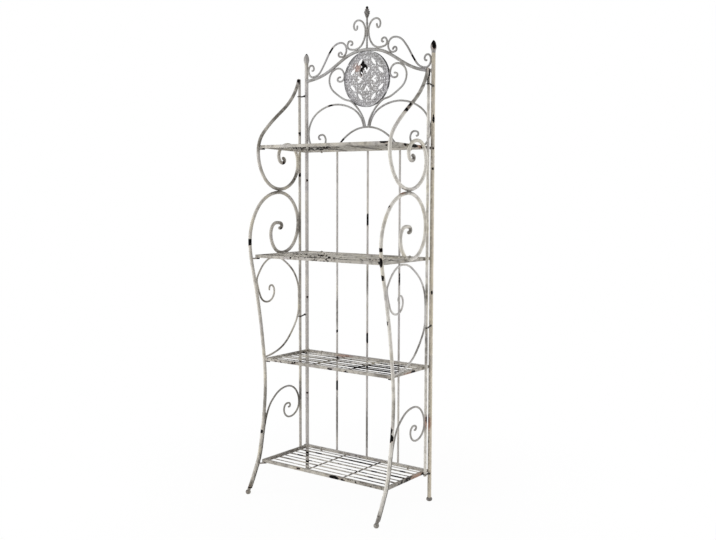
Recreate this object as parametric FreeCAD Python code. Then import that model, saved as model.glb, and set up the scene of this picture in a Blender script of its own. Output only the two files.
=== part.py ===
"""Folding bakers rack: a tubular back frame with a scrolled crown, two hinged
scrolled side frames and four hinged wire shelves.  Millimetres, +Z up, front
faces -Y, origin on the floor under the middle of the bounding box.

Scroll centre lines are chains of tangent arcs.  Each is drawn in a flat plane
with nodes (u, v, heading): u is the distance along the plane (forward from the
back frame for the sides, sideways from the middle for the crown), v the height
and heading the travel direction in degrees, 0 along +u and 90 upwards.
"""
import FreeCAD, Part
import math
import os

Vector = FreeCAD.Vector

# ---- driving dimensions -------------------------------------------------
HEIGHT = 2032.0
POST_X = 325.5            # back post axis, each side of the middle
SIDE_X = 330.5            # plane of each side frame
FRONT_REACH = 394.0       # back post axis to the front of the front feet
REAR_REACH = 14.0         # back post axis to the rear of the back rods
BACK_Y = (FRONT_REACH - REAR_REACH) / 2.0

POST_R = 8.0
TUBE_WALL = 1.5
POST_TOP = 1815.0
FOOT_R = 10.8             # front feet
POST_FOOT_R = 12.5
FOOT_H = 16.0
RAIL_R = 5.0
BACK_ROD_R = 4.5
UPRIGHT_R = 6.0
UPRIGHT_DEPTH = 42.0      # side frame hinge axis in front of the back posts
UPRIGHT_TOP = 1746.0
UPRIGHT_BOTTOM = 114.0
LEG_R = 7.0
SCROLL_R = 4.0
ARCH_R = 6.5
RING_WIRE_R = 1.5         # wire of the rings round the side uprights
LINK_R = 2.4              # bent link from each ring to the back post
LOOP_WIRE_R = 2.2         # wire of the loops round the shelf hinge bars
HINGE_CLEARANCE = 0.06
# height of each ring and the rise of its link to the post, by side
HINGE_RINGS = {
    -1: ((122.0, 5.0), (716.0, 5.0), (1677.0, 5.0)),
    1: ((122.0, -5.0), (724.0, 5.0), (1690.0, -5.0)),
}

SHELF_HEIGHTS = (1442.0, 1000.0, 559.0, 126.0)
SHELF_FRONTS = (305.0, 340.0, 281.0, 306.0)
SHELF_RISES = (9.5, 0.0, 0.0, 0.0)    # front edge above the hinge bar
SHELF_HALF_WIDTH = 321.0
SHELF_BAR = 12.0          # square bar of the shelf frames
SHELF_BAR_R = 5.0
WELD_SINK = 0.05          # how far touching rods sink into each other
LONG_WELD_SINK = 0.02     # the same where rods lie side by side
# hinge bar of each shelf in front of the posts, its loops resting on the back rail
SHELF_AXIS_DEPTH = RAIL_R + 2 * LOOP_WIRE_R + HINGE_CLEARANCE + SHELF_BAR_R - WELD_SINK
SHELF_LOOP_X = 230.0
WIRE_COUNT = 7
THICK_WIRE_R = 3.0
THIN_WIRE_R = 2.0
CROSS_BAR_R = 2.5
CROSS_BAR_X = 92.0
BODY_GAP = 0.3            # free gap between a shelf and the pegs below it
PEG_R = 3.0
PEG_INBOARD = 25.0
PEG_SETBACK = 10.0        # peg tips behind the shelves' front edges

MEDALLION_R = 115.0
MEDALLION_RIM = 6.0
MEDALLION_RIM_DEPTH = 11.0
PLATE_THICKNESS = 3.0

CENTRE_ROD_R = 4.0
CENTRE_FINIAL_Z = 1979.0
ROD_BEAD_Z = 1962.0
ROD_BEAD_R = 5.5

# ---- centre lines -------------------------------------------------------
UPPER_SCROLL = [
    (46.5, 1750, -72), (100, 1658.5, -47), (205, 1573, -37), (308, 1430, -90),
    (172, 1277, 180), (UPRIGHT_DEPTH + UPRIGHT_R + LEG_R - WELD_SINK, 1388, 90),
    (118, 1467, 0), (180, 1418, -90), (156, 1388, 180), (143, 1399, 90), (151, 1408, 10),
]
LEG = [
    (176, 1111, 190), (163, 1121, 90), (195, 1134.5, 0), (233, 1088, -90),
    (162, 1006, 180), (UPRIGHT_DEPTH + UPRIGHT_R + LEG_R - WELD_SINK, 1130, 90),
    (180, 1263.15, 0), (361.5, 1060, -90), (345, 945, -104),
    (293, 680, -98), (273, 460, -90), (294, 250, -79), (320, 135, -70), (340, 92, -64.5),
    (373.5, 27, -61), (380.6, 14, -61),
]
MIDDLE_SCROLL = [
    (244, 852, 75), (232, 870, 180), (213, 844, -90), (257, 801, 0), (320.3, 887.5, 76),
    (300, 939, 125), (213, 989, 180), (105, 938, -139),
    (UPRIGHT_DEPTH + UPRIGHT_R + SCROLL_R - WELD_SINK, 825, -90),
    (UPRIGHT_DEPTH + UPRIGHT_R + SCROLL_R - WELD_SINK, 766, -90),
    (119, 633, -47), (282, 566, -4),
]
LOWER_SCROLL = [
    (122, 323, 200), (112, 331, 90), (130, 341, 0), (153, 316, -90), (112, 278, 180),
    (UPRIGHT_DEPTH + UPRIGHT_R + SCROLL_R - WELD_SINK, 335, 90),
    (130, 417, 0), (208, 391, -38), (252, 343, -62),
]
LOWER_SCROLL_FOLLOWS = LEG[-5:-1]    # leg nodes that it lies behind, down to the foot

ARCH = [(0, 1856, 0), (120, 1826.5, -29.5), (200, 1780.5, -28), (POST_X, 1745.5, -5)]
S_SCROLL = [
    (50, 1955, -90), (57.5, 1941, 0), (68, 1957, 90), (46, 1979, 180),
    (CENTRE_ROD_R + SCROLL_R - WELD_SINK, 1931, -90),
    (64, 1860.3, 0), (101.4, 1880, 90), (87, 1897, 180), (75, 1887, -90), (82, 1881, 10),
]
SHOULDER_SCROLL = [
    (131, 1847, 70), (140, 1855, 0), (149, 1846, -90), (131, 1835.45, 180), (107, 1864, 90),
    (138, 1895, 0), (214, 1832, -59.5), (290, 1761.85, 0),
    (POST_X - POST_R - SCROLL_R + WELD_SINK, 1790, 90), (298, 1812, 180),
    (284, 1797, -90), (293, 1789, 10),
]
HEART_SCROLL = [
    (140, 1751.5, 0), (154, 1742, -90), (140, 1732.5, 180), (117.7, 1753, 90), (151, 1788.7, 0),
    (198.5, 1742, -90), (125, 1660.5, -152), (73.2, 1640.85, -142), (7.5, 1538, -98),
]
C_SCROLL = [
    (15.4, 1537, 82), (163, 1637.5, 0),
    (POST_X - POST_R - SCROLL_R + WELD_SINK, 1515, -90),
    (268, SHELF_HEIGHTS[0] + RAIL_R + SCROLL_R - WELD_SINK, 180), (218.5, 1487, 90),
    (238.5, 1512, 0), (257, 1501, -90), (249, 1493, 170),
]
LOWER_ARCH = [(-163, 1444, 56), (0, 1537, 0), (163, 1444, -56)]

# half profiles of the turned pieces: lines, and arcs through three points (r, z)
POST_FINIAL = [
    ((8.0, 0.0), (8.0, 4.0)),
    ((8.0, 4.0), (9.5, 11.5), (12.6, 18.0)),
    ((12.6, 18.0), (12.0, 31.5), (6.0, 44.0)),
]
POST_FINIAL_TIP = (44.0, 6.0)        # height and radius of the rounded tip

CENTRE_FINIAL = [
    ((4.0, 0.0), (5.6, 8.0), (12.0, 17.0)),
    ((12.0, 17.0), (14.0, 21.5), (10.5, 27.0)),
    ((10.5, 27.0), (13.4, 32.0), (8.5, 38.0)),
    ((8.5, 38.0), (10.4, 41.5), (4.6, 45.5)),
]
CENTRE_FINIAL_TIP = (47.8, 5.2)

FOOT_BASE_R = 6.5
FOOT_NECK_R = 7.0
SPIGOT_LENGTH = 18.0


# ---- tangent-arc centre lines -------------------------------------------
def arc_edge(start, tangent, end):
    """Arc from start, leaving along tangent, to end; a line where it is straight."""
    chord = end - start
    length = chord.Length
    chord_dir = chord * (1.0 / length)
    cosine = max(-1.0, min(1.0, tangent.dot(chord_dir)))
    if cosine > 1.0 - 1e-9:
        return Part.makeLine(start, end)
    half = math.acos(cosine) / 2.0
    toward = (tangent + chord_dir).normalize()
    middle = start + toward * (length / 2.0 / math.cos(half))
    return Part.Arc(start, middle, end).toShape()


def biarc_join(start, start_dir, end, end_dir):
    """Point where two equal-reach tangent arcs from both ends meet."""
    span = end - start
    both = start_dir + end_dir
    turn = 1.0 - start_dir.dot(end_dir)
    along = span.dot(both)
    if turn < 1e-9:
        reach = span.dot(span) / (4.0 * span.dot(end_dir))
    else:
        root = math.sqrt(along * along + 2.0 * turn * span.dot(span))
        reach = (root - along) / (2.0 * turn)
    return (start + end + (start_dir - end_dir) * reach) * 0.5


def centre_line(nodes, place):
    """Wire of tangent arcs through the nodes; place maps (u, v, inboard) to space."""
    origin = place(0.0, 0.0, 0.0)
    points = []
    for node in nodes:
        inboard = node[3] if len(node) > 3 else 0.0
        angle = math.radians(node[2])
        direction = place(math.cos(angle), math.sin(angle), 0.0) - origin
        points.append((place(node[0], node[1], inboard), direction))
    edges = []
    for (start, start_dir), (end, end_dir) in zip(points, points[1:]):
        join = biarc_join(start, start_dir, end, end_dir)
        edges.append(arc_edge(start, start_dir, join))
        edges.append(arc_edge(end, end_dir * -1.0, join))
    return Part.Wire(Part.sortEdges(edges)[0]), points


def round_rod(nodes, place, radius, ball_start=False, ball_end=False):
    """Round rod swept along the nodes, with rounded free ends."""
    line, points = centre_line(nodes, place)
    start, direction = points[0]
    profile = Part.Wire(Part.Circle(start, direction, radius).toShape())
    rod = line.makePipeShell([profile], True, False)
    if ball_start:
        rod = rod.fuse(Part.makeSphere(radius, points[0][0]))
    if ball_end:
        rod = rod.fuse(Part.makeSphere(radius, points[-1][0]))
    return rod


def side_plane(side):
    """Map (depth, height, inboard) of a side frame to space; side is -1 or +1."""
    return lambda u, v, inboard: Vector(side * (SIDE_X - inboard), BACK_Y - u, v)


def crown_plane(side):
    """Map (sideways, height, forward) of the back frame to space."""
    return lambda u, v, forward: Vector(side * u, BACK_Y - forward, v)


def front_depth(nodes, height):
    """Greatest depth at which a side centre line passes a height."""
    line, _ = centre_line(nodes, lambda u, v, inboard: Vector(u, 0.0, v))
    level = Part.makeLine(Vector(0.0, 0.0, height), Vector(FRONT_REACH, 0.0, height))
    return max(near.x for near, _ in line.distToShape(level)[1])


# ---- simple solids ------------------------------------------------------
def bar(start, end, radius):
    """Round bar between two points."""
    axis = end - start
    return Part.makeCylinder(radius, axis.Length, start, axis)


def turned(profile, base):
    """Solid of revolution about the vertical through base, from a half profile."""
    edges = []
    for piece in profile:
        spots = [base + Vector(r, 0.0, z) for r, z in piece]
        edges.append(Part.makeLine(*spots) if len(spots) == 2 else Part.Arc(*spots).toShape())
    first = base + Vector(profile[0][0][0], 0.0, profile[0][0][1])
    last = base + Vector(profile[-1][-1][0], 0.0, profile[-1][-1][1])
    axis_low = Vector(base.x, base.y, first.z)
    axis_high = Vector(base.x, base.y, last.z)
    edges.append(Part.makeLine(axis_low, first))
    edges.append(Part.makeLine(last, axis_high))
    edges.append(Part.makeLine(axis_high, axis_low))
    face = Part.Face(Part.Wire(Part.sortEdges(edges)[0]))
    return face.revolve(base, Vector(0, 0, 1), 360)


def bud(profile, tip, base):
    """Turned bud with a ball at its tip."""
    height, radius = tip
    return turned(profile, base).fuse(Part.makeSphere(radius, base + Vector(0.0, 0.0, height)))


def post_axis(side, z):
    return Vector(side * POST_X, BACK_Y, z)


def solid_post(side):
    """Outline of a back post, used to cope the ends of what meets it."""
    return Part.makeCylinder(POST_R, POST_TOP, post_axis(side, 0.0))


def block(x0, x1, d0, d1, z0, z1):
    """Box from ranges across, forward depth and height."""
    return Part.makeBox(x1 - x0, d1 - d0, z1 - z0, Vector(x0, BACK_Y - d1, z0))


# ---- back frame ---------------------------------------------------------
def back_post(side):
    tube = Part.makeCylinder(POST_R, POST_TOP - FOOT_H, post_axis(side, FOOT_H))
    bore = Part.makeCylinder(POST_R - TUBE_WALL, POST_TOP - FOOT_H, post_axis(side, FOOT_H))
    return tube.cut(bore)


def post_finial(side):
    top = bud(POST_FINIAL, POST_FINIAL_TIP, post_axis(side, POST_TOP))
    spigot = Part.makeCylinder(POST_R - TUBE_WALL, SPIGOT_LENGTH,
                               post_axis(side, POST_TOP - SPIGOT_LENGTH))
    return top.fuse(spigot).removeSplitter()


def foot(base, radius):
    """Squashed ball foot standing at base."""
    profile = [((FOOT_BASE_R, 0.0), (radius, FOOT_H / 2.0), (FOOT_NECK_R, FOOT_H))]
    return turned(profile, base)


def post_foot(side):
    ball = foot(post_axis(side, 0.0), POST_FOOT_R)
    spigot = Part.makeCylinder(POST_R - TUBE_WALL, SPIGOT_LENGTH, post_axis(side, FOOT_H))
    return ball.fuse(spigot).removeSplitter()


def back_rail(height):
    rail = bar(post_axis(-1, height), post_axis(1, height), RAIL_R)
    return rail.cut(solid_post(-1)).cut(solid_post(1))


def back_rod(x):
    depth = RAIL_R + BACK_ROD_R - WELD_SINK
    overrun = RAIL_R
    low = SHELF_HEIGHTS[-1] - overrun
    high = SHELF_HEIGHTS[0] + overrun
    return bar(Vector(x, BACK_Y + depth, low), Vector(x, BACK_Y + depth, high), BACK_ROD_R)


def crown_arch():
    left = [(-u, v, -heading) for u, v, heading in reversed(ARCH[1:])]
    arch = round_rod(left + ARCH, crown_plane(1), ARCH_R)
    return arch.cut(solid_post(-1)).cut(solid_post(1))


def centre_rod(arch):
    base = Vector(0.0, BACK_Y, ARCH[0][1])
    rod = bar(base, Vector(0.0, BACK_Y, CENTRE_FINIAL_Z), CENTRE_ROD_R)
    bead = Part.makeSphere(ROD_BEAD_R, Vector(0.0, BACK_Y, ROD_BEAD_Z))
    return rod.fuse(bead).cut(arch)


def medallion_centre():
    height = ARCH[0][1] - ARCH_R - MEDALLION_R + WELD_SINK
    return Vector(0.0, BACK_Y, height)


def disc(radius, thickness):
    """Disc standing in the back frame's plane, centred on the medallion."""
    base = medallion_centre() + Vector(0.0, -thickness / 2.0, 0.0)
    return Part.makeCylinder(radius, thickness, base, Vector(0, 1, 0))


def medallion_ring():
    inner = MEDALLION_R - MEDALLION_RIM
    return disc(MEDALLION_R, MEDALLION_RIM_DEPTH).cut(disc(inner, MEDALLION_RIM_DEPTH))


def pierce(outline):
    """Cutter through the medallion plate from a closed outline of edges."""
    face = Part.Face(Part.Wire(Part.sortEdges(outline)[0]))
    face.translate(medallion_centre() + Vector(0.0, -PLATE_THICKNESS, 0.0))
    return face.extrude(Vector(0.0, 2 * PLATE_THICKNESS, 0.0))


def leaf(ax, az, bx, bz, half_width):
    """Pointed oval cutter between two points, relative to the medallion's middle."""
    a = Vector(ax, 0.0, az)
    b = Vector(bx, 0.0, bz)
    along = b - a
    across = Vector(-along.z, 0.0, along.x).normalize() * half_width
    middle = (a + b) * 0.5
    return pierce([Part.Arc(a, middle + across, b).toShape(),
                   Part.Arc(b, middle - across, a).toShape()])


def chevron(tip, end_r, end_half, thickness):
    """Arrowhead cutter pointing at the middle from above."""
    spots = [(0.0, tip), (end_half, end_r), (end_half - thickness, end_r + thickness / 2.0),
             (0.0, tip + 1.5 * thickness), (thickness - end_half, end_r + thickness / 2.0),
             (-end_half, end_r)]
    corners = [Vector(x, 0.0, z) for x, z in spots]
    return pierce([Part.makeLine(p, q) for p, q in zip(corners, corners[1:] + corners[:1])])


def hole(x, z, radius):
    return pierce([Part.Circle(Vector(x, 0.0, z), Vector(0, 1, 0), radius).toShape()])


def medallion_plate():
    """Pierced rosette: four pointed petals on the axes and small diagonal leaves."""
    quarter = [
        chevron(22.0, 45.0, 16.0, 10.0),
        leaf(21.0, 86.0, 47.0, 57.0, 7.0), leaf(-21.0, 86.0, -47.0, 57.0, 7.0),
        leaf(20.0, 20.0, 33.0, 33.0, 3.2), leaf(52.0, 66.0, 66.0, 52.0, 3.0),
        hole(0.0, 70.0, 4.0), hole(0.0, 90.0, 4.5),
        hole(28.0, 52.0, 3.8), hole(-28.0, 52.0, 3.8), hole(67.0, 67.0, 3.5),
        hole(41.0, 86.0, 2.6), hole(-41.0, 86.0, 2.6),
    ]
    cutters = []
    for turn in range(4):
        for cutter in quarter:
            turned_cutter = cutter.copy()
            turned_cutter.rotate(medallion_centre(), Vector(0, 1, 0), 90.0 * turn)
            cutters.append(turned_cutter)
    return disc(MEDALLION_R - MEDALLION_RIM, PLATE_THICKNESS).cut(cutters)


def side_hinge_rings(side):
    """Wire rings round the side frame's upright, each welded to the back post by a link."""
    ring_r = UPRIGHT_R + HINGE_CLEARANCE + RING_WIRE_R
    rings = []
    for height, rise in HINGE_RINGS[side]:
        centre = Vector(side * SIDE_X, BACK_Y - UPRIGHT_DEPTH, height)
        ring = Part.makeTorus(ring_r, RING_WIRE_R, centre)
        link = round_rod([(UPRIGHT_DEPTH - ring_r, height, 180), (0, height + rise, 180)],
                         side_plane(side), LINK_R)
        rings.append(ring.fuse(link).cut(solid_post(side)))
    return Part.makeCompound(rings)


def shelf_loops():
    """Wire loops on the back rails that carry the shelves' hinge bars."""
    loop_r = SHELF_BAR_R + HINGE_CLEARANCE + LOOP_WIRE_R
    loops = []
    for height in SHELF_HEIGHTS:
        for x in (-SHELF_LOOP_X, SHELF_LOOP_X):
            centre = Vector(x, BACK_Y - SHELF_AXIS_DEPTH, height)
            loops.append(Part.makeTorus(loop_r, LOOP_WIRE_R, centre, Vector(1, 0, 0)))
    return Part.makeCompound(loops)


# ---- side frames --------------------------------------------------------
def upright_axis(side, z):
    return Vector(side * SIDE_X, BACK_Y - UPRIGHT_DEPTH, z)


def solid_upright(side):
    """Outline of a side upright, used to cope the end of the upper scroll."""
    top = upright_axis(side, UPRIGHT_TOP)
    rod = bar(upright_axis(side, UPRIGHT_BOTTOM), top, UPRIGHT_R)
    return rod.fuse(Part.makeSphere(UPRIGHT_R, top))


def side_upright(side):
    bore = bar(upright_axis(side, UPRIGHT_BOTTOM), upright_axis(side, UPRIGHT_TOP),
               UPRIGHT_R - TUBE_WALL)
    return solid_upright(side).cut(bore)


def leg_foot(side):
    return foot(Vector(side * SIDE_X, BACK_Y - FRONT_REACH + FOOT_R, 0.0), FOOT_R)


def with_joins(nodes):
    """The nodes with the point and heading where each pair of arcs meets put in."""
    _, points = centre_line(nodes, Vector)
    full = [nodes[0]]
    for (start, start_dir), (end, end_dir), node in zip(points, points[1:], nodes[1:]):
        join = biarc_join(start, start_dir, end, end_dir)
        chord = (join - start).normalize()
        heading = chord * (2.0 * chord.dot(start_dir)) - start_dir
        full.append((join.x, join.y, math.degrees(math.atan2(heading.y, heading.x))))
        full.append(node)
    return full


def behind(node, distance):
    """Node at a distance to the rear of a leg node."""
    depth, height, heading = node
    angle = math.radians(heading)
    return (depth + distance * math.sin(angle), height - distance * math.cos(angle), heading)


def lower_scroll(side):
    offset = LEG_R + SCROLL_R - LONG_WELD_SINK
    follows = [behind(node, offset) for node in with_joins(LOWER_SCROLL_FOLLOWS)]
    return round_rod(LOWER_SCROLL + follows, side_plane(side), SCROLL_R, ball_start=True,
                     ball_end=True)


def shelf_angle(front, rise):
    """Angle in degrees between a shelf and the level."""
    return math.degrees(math.asin(rise / (front - SHELF_AXIS_DEPTH)))


def peg_height(height, front, rise):
    """Height of the pegs that carry a shelf, just clear of its underside."""
    angle = math.radians(shelf_angle(front, rise))
    reach = front - PEG_SETBACK - SHELF_AXIS_DEPTH
    drop = SHELF_BAR / 2.0 + BODY_GAP + PEG_R
    return height + reach * math.tan(angle) - drop / math.cos(angle)


def shelf_pegs(side, carriers):
    """Pins from the side frame that end under the shelves' front corners."""
    pegs = []
    for height, front, rise in zip(SHELF_HEIGHTS, SHELF_FRONTS, SHELF_RISES):
        peg_z = peg_height(height, front, rise)
        depth = front_depth(UPPER_SCROLL if height == SHELF_HEIGHTS[0] else LEG, peg_z)
        root = Vector(side * SIDE_X, BACK_Y - depth, peg_z)
        tip_depth = min(depth, front - PEG_SETBACK)
        tip = Vector(side * (SIDE_X - PEG_INBOARD), BACK_Y - tip_depth, peg_z)
        pegs.append(bar(root, tip, PEG_R).cut(carriers))
    return Part.makeCompound(pegs)


# ---- shelves ------------------------------------------------------------
def shelf_frame(height, front, hinge_bar):
    """Square front rail and two side rails that butt against the round hinge bar."""
    low = height - SHELF_BAR / 2.0
    high = height + SHELF_BAR / 2.0
    inner = SHELF_HALF_WIDTH - SHELF_BAR
    rail = block(-SHELF_HALF_WIDTH, SHELF_HALF_WIDTH, front - SHELF_BAR, front, low, high)
    for x0, x1 in ((-SHELF_HALF_WIDTH, -inner), (inner, SHELF_HALF_WIDTH)):
        rail = rail.fuse(block(x0, x1, SHELF_AXIS_DEPTH, front - SHELF_BAR, low, high))
    return rail.removeSplitter().cut(hinge_bar)


def shelf_hinge_bar(height):
    half = SHELF_HALF_WIDTH
    y = BACK_Y - SHELF_AXIS_DEPTH
    return bar(Vector(-half, y, height), Vector(half, y, height), SHELF_BAR_R)


def cross_bar_height(height):
    return height + SHELF_BAR / 2.0 - 2.0 * THICK_WIRE_R - CROSS_BAR_R


def shelf_wires(height, front):
    """Long wires side by side, thin and thick in turn, lying on the cross bars."""
    half = SHELF_HALF_WIDTH - SHELF_BAR
    pitch = (front - SHELF_BAR - SHELF_AXIS_DEPTH) / (WIRE_COUNT + 1)
    bed = cross_bar_height(height) + CROSS_BAR_R - WELD_SINK
    wires = []
    for index in range(WIRE_COUNT):
        radius = THICK_WIRE_R if index % 2 else THIN_WIRE_R
        y = BACK_Y - SHELF_AXIS_DEPTH - pitch * (index + 1)
        wires.append(bar(Vector(-half, y, bed + radius), Vector(half, y, bed + radius), radius))
    return Part.makeCompound(wires)


def shelf_cross_bars(height, front, hinge_bar):
    z = cross_bar_height(height)
    bars = []
    for x in (-CROSS_BAR_X, CROSS_BAR_X):
        rear = Vector(x, BACK_Y - SHELF_AXIS_DEPTH, z)
        fore = Vector(x, BACK_Y - front + SHELF_BAR, z)
        bars.append(bar(rear, fore, CROSS_BAR_R).cut(hinge_bar))
    return Part.makeCompound(bars)


# ---- assembly -----------------------------------------------------------
def build_back_frame(nodes):
    for side, name in ((-1, "left"), (1, "right")):
        nodes["back_post_" + name] = back_post(side)
        nodes["side_hinge_rings_" + name] = side_hinge_rings(side)
    nodes["post_finials"] = Part.makeCompound([post_finial(-1), post_finial(1)])
    nodes["post_feet"] = Part.makeCompound([post_foot(-1), post_foot(1)])
    for name, x in (("left", -POST_X / 2.0), ("middle", 0.0), ("right", POST_X / 2.0)):
        nodes["back_rod_" + name] = back_rod(x)
    for index, height in enumerate(SHELF_HEIGHTS, start=1):
        nodes["back_rail_%d" % index] = back_rail(height)
    nodes["shelf_loops"] = shelf_loops()


def build_crown(nodes):
    arch = crown_arch()
    nodes["crown_arch"] = arch
    nodes["crown_centre_rod"] = centre_rod(arch)
    nodes["crown_finial"] = bud(CENTRE_FINIAL, CENTRE_FINIAL_TIP,
                                Vector(0.0, BACK_Y, CENTRE_FINIAL_Z))
    nodes["medallion_ring"] = medallion_ring()
    nodes["medallion_plate"] = medallion_plate()
    top_rail = nodes["back_rail_1"]
    lower_arch = round_rod(LOWER_ARCH, crown_plane(1), SCROLL_R).cut(top_rail)
    lower_arch = lower_arch.common(block(-POST_X, POST_X, -POST_R, POST_R,
                                         SHELF_HEIGHTS[0], HEIGHT))
    nodes["crown_lower_arch"] = lower_arch
    for side, name in ((-1, "left"), (1, "right")):
        plane = crown_plane(side)
        nodes["crown_s_scroll_" + name] = round_rod(S_SCROLL, plane, SCROLL_R, True, True)
        nodes["shoulder_scroll_" + name] = round_rod(SHOULDER_SCROLL, plane, SCROLL_R, True, True)
        heart = round_rod(HEART_SCROLL, plane, SCROLL_R, ball_start=True)
        nodes["heart_scroll_" + name] = heart.cut(lower_arch)
        c_scroll = round_rod(C_SCROLL, plane, SCROLL_R, ball_end=True)
        nodes["c_scroll_" + name] = c_scroll.cut(lower_arch)


def build_side(nodes, side, name):
    plane = side_plane(side)
    ball = leg_foot(side)
    leg = round_rod(LEG, plane, LEG_R, ball_start=True).cut(ball)
    upper = round_rod(UPPER_SCROLL, plane, LEG_R, ball_end=True).cut(solid_upright(side))
    middle = round_rod(MIDDLE_SCROLL, plane, SCROLL_R, ball_start=True).cut(leg)
    nodes["side_upright_" + name] = side_upright(side)
    nodes["upper_scroll_" + name] = upper
    nodes["front_leg_" + name] = leg
    nodes["middle_scroll_" + name] = middle
    low = lower_scroll(side)
    nodes["lower_scroll_" + name] = low
    nodes["leg_foot_" + name] = ball
    nodes["shelf_pegs_" + name] = shelf_pegs(side, [upper, leg, low])


def build_shelf(nodes, index, height, front, rise):
    """Shelf pieces, turned about the hinge bar where the front edge rises."""
    hinge_bar = shelf_hinge_bar(height)
    pieces = {
        "frame": shelf_frame(height, front, hinge_bar),
        "hinge_bar": hinge_bar,
        "wires": shelf_wires(height, front),
        "cross_bars": shelf_cross_bars(height, front, hinge_bar),
    }
    axis = Vector(0.0, BACK_Y - SHELF_AXIS_DEPTH, height)
    for name, piece in pieces.items():
        if rise:
            piece.rotate(axis, Vector(-1, 0, 0), shelf_angle(front, rise))
        nodes["shelf_%d_%s" % (index, name)] = piece


def build_all():
    nodes = {}
    build_back_frame(nodes)
    build_crown(nodes)
    build_side(nodes, -1, "left")
    build_side(nodes, 1, "right")
    shelves = zip(SHELF_HEIGHTS, SHELF_FRONTS, SHELF_RISES)
    for index, (height, front, rise) in enumerate(shelves, start=1):
        build_shelf(nodes, index, height, front, rise)
    return nodes


os.makedirs("parts", exist_ok=True)
NODES = build_all()
for node_name, shape in NODES.items():
    shape.exportStep("parts/%s.step" % node_name)
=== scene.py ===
"""Looks of the folding bakers rack: distressed paint, weld beads, cast buds,
medallion relief, a studio floor and the camera.  Metres, in the CAD's frame:
+Z up, front -Y.  Side frame places are (depth forward of the posts, height)."""

import math
import random

import bmesh
import bpy
from mathutils import Matrix, Vector, noise

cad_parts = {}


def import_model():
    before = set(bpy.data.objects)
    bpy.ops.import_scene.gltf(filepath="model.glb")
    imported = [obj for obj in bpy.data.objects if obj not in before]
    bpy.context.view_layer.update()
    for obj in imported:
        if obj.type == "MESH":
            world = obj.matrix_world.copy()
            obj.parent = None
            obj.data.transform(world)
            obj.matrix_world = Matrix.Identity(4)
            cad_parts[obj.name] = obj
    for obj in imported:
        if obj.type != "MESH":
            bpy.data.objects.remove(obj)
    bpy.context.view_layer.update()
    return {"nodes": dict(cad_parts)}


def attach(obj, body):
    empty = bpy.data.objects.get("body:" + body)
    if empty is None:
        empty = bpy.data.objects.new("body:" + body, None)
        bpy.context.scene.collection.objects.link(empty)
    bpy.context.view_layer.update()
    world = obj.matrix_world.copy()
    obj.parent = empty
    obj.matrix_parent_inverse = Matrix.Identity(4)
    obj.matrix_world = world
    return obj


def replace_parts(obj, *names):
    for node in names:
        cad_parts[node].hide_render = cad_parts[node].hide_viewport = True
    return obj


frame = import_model()
NODES = frame["nodes"]

BACK_Y = 0.190  # axis of the back posts, rails and crown
POST_X = 0.3255
POST_R = 0.008
POST_TOP = 1.815
SIDE_X = 0.3305  # plane of each side frame
UPRIGHT_FACE = 0.048  # depth of the front of the side uprights
RAIL_R = 0.005
BACK_ROD_X = POST_X / 2
LOOP_X = 0.230  # loops that carry the shelves' hinge bars

# side frame hinge rings: height, rise of the link towards the post, by side
RINGS = {-1: ((0.122, 0.005), (0.716, 0.005), (1.677, 0.005)),
         1: ((0.122, -0.005), (0.724, 0.005), (1.690, -0.005))}
RING_DEPTH = 0.042
RING_R = 0.0081
RING_WIRE_R = 0.0020
LINK_R = 0.0031
LINK_END = 0.004  # depth at which a link sinks into its post

HINGE_DEPTH = 0.01441  # shelf hinge bars in front of the posts
HALF_WIDTH = 0.321  # of a shelf
SHELF_BAR = 0.012
CROSS_X = 0.092
CROSS_R = 0.0025
THICK_R = 0.003  # thick and thin shelf wires, in turn
THIN_R = 0.002
WIRES = 7
PEG_DROP = 0.0093  # axis of a peg below the axis of its shelf's bars
# height, front depth, rise of the front edge
SHELVES = (
    (1.442, 0.305, 0.0095), (1.000, 0.340, 0.0), (0.559, 0.281, 0.0), (0.126, 0.306, 0.0))

MEDALLION_Z = 1.73455
PLATE_HALF = 0.0015
RIM_EDGE = 0.1142
RIM_SHADE_REACH = 0.0036  # how much further in the rim's painted shade reaches at its left
CROWN_FINIAL_Z = 1.979
ARCH_CROWN_Z = 1.8496  # axis of the arch over the middle


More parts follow.
